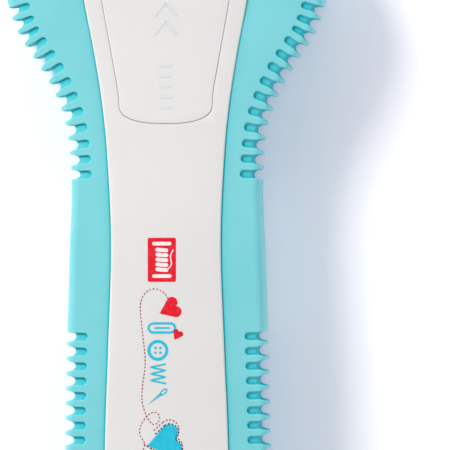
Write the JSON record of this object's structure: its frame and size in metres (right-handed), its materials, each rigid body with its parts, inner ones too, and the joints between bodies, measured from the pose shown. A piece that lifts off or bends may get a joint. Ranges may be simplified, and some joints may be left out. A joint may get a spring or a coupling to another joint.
{
  "type": "seam ripper",
  "caption": "Hand seam ripper with a flat flared soft-grip handle, a sprung lock lever, a draw-out forked blade unit and a clear pull-off cap.",
  "frame": {"origin": "middle of the plane that the tool rests on, under the centre of its bounding box", "axes": "+Z normal to the broad face, +Y along the tool towards the blade, +X to the right seen from above"},
  "size_m": [0.0362, 0.138, 0.014],
  "materials": {
    "upper_shell": "glossy white moulded ABS, gently crowned",
    "lower_shell": "white moulded ABS, finely sparked underside",
    "left_grip": "satin turquoise thermoplastic elastomer",
    "right_grip": "satin turquoise thermoplastic elastomer",
    "nose_collar": "turquoise moulded ring",
    "lock_lever": "glossy white moulded lever",
    "lever_pin": "plain steel pin",
    "latch_spring": "bent spring steel leaf",
    "latch_spring_screw": "small steel screw",
    "shell_screw_rear": "small steel screw",
    "shell_screw_middle": "small steel screw",
    "shell_screw_front_left": "small steel screw",
    "shell_screw_front_right": "small steel screw",
    "blade_holder": "white moulded holder with a front boss",
    "blade_holder_cover": "white moulded cover",
    "holder_rivet_front": "steel rivet",
    "holder_rivet_rear": "steel rivet",
    "ripper_blade": "stamped and ground steel fork",
    "safety_ball": "red moulded ball",
    "clear_cap": "clear moulded polystyrene cap"
  },
  "bodies": {
    "handle": {"upper_shell": "upper_shell", "lower_shell": "lower_shell", "left_grip": "left_grip", "right_grip": "right_grip", "nose_collar": "nose_collar", "lever_pin": "lever_pin", "latch_spring": "latch_spring", "latch_spring_screw": "latch_spring_screw", "shell_screw_rear": "shell_screw_rear", "shell_screw_middle": "shell_screw_middle", "shell_screw_front_left": "shell_screw_front_left", "shell_screw_front_right": "shell_screw_front_right"},
    "lock_lever": {"lock_lever": "lock_lever"},
    "blade_unit": {"blade_holder": "blade_holder", "blade_holder_cover": "blade_holder_cover", "holder_rivet_front": "holder_rivet_front", "holder_rivet_rear": "holder_rivet_rear", "ripper_blade": "ripper_blade", "safety_ball": "safety_ball"},
    "cap": {"clear_cap": "clear_cap"}
  },
  "joints": [
    {"name": "lever_press", "type": "hinge", "parent": "handle", "child": "lock_lever", "pos_m": [0, 0.0215, 0.0099], "axis": [1, 0, 0], "range_deg": [0, 4.5], "stiffness_Nm_per_rad": 0.05, "springref_deg": -2.86, "deforming": ["latch_spring"]},
    {"name": "blade_slide", "type": "slide", "parent": "handle", "child": "blade_unit", "axis": [0, 1, 0], "range_m": [0, 0.03]},
    {"name": "cap_pull", "type": "slide", "parent": "blade_unit", "child": "cap", "axis": [0, 1, 0], "range_m": [0, 0.045]}
  ]
}
